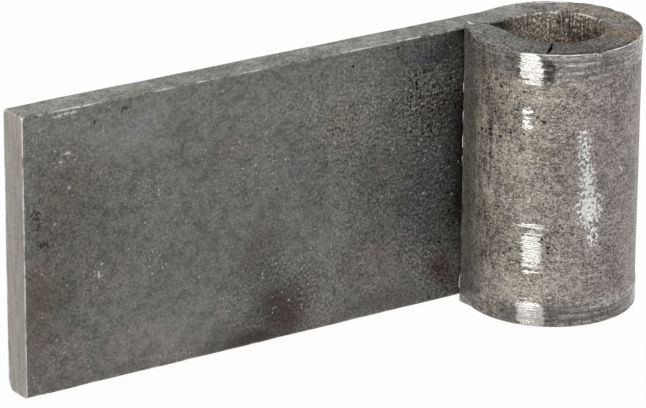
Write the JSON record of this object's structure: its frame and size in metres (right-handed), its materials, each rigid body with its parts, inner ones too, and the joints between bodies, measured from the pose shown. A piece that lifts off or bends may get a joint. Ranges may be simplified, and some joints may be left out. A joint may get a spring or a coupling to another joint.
{
  "type": "weld-on barrel hinge leaf",
  "caption": "Flat steel strap with its end rolled into an open-seamed eye for a hinge pin; the strap is welded to a gate, door or frame.",
  "frame": {"origin": "on the eye's axis, at the middle of the bar's width", "axes": "+Z along the eye's axis and across the bar's width, the strap runs towards -X, and +Y is the outward normal of its back face"},
  "size_m": [0.1399, 0.0364, 0.0624],
  "materials": {
    "mill_scale_steel": "hot-rolled steel with dark mill scale, worn bright along its edges"
  },
  "bodies": {
    "root": {"hinge_leaf": "mill_scale_steel"}
  },
  "joints": []
}
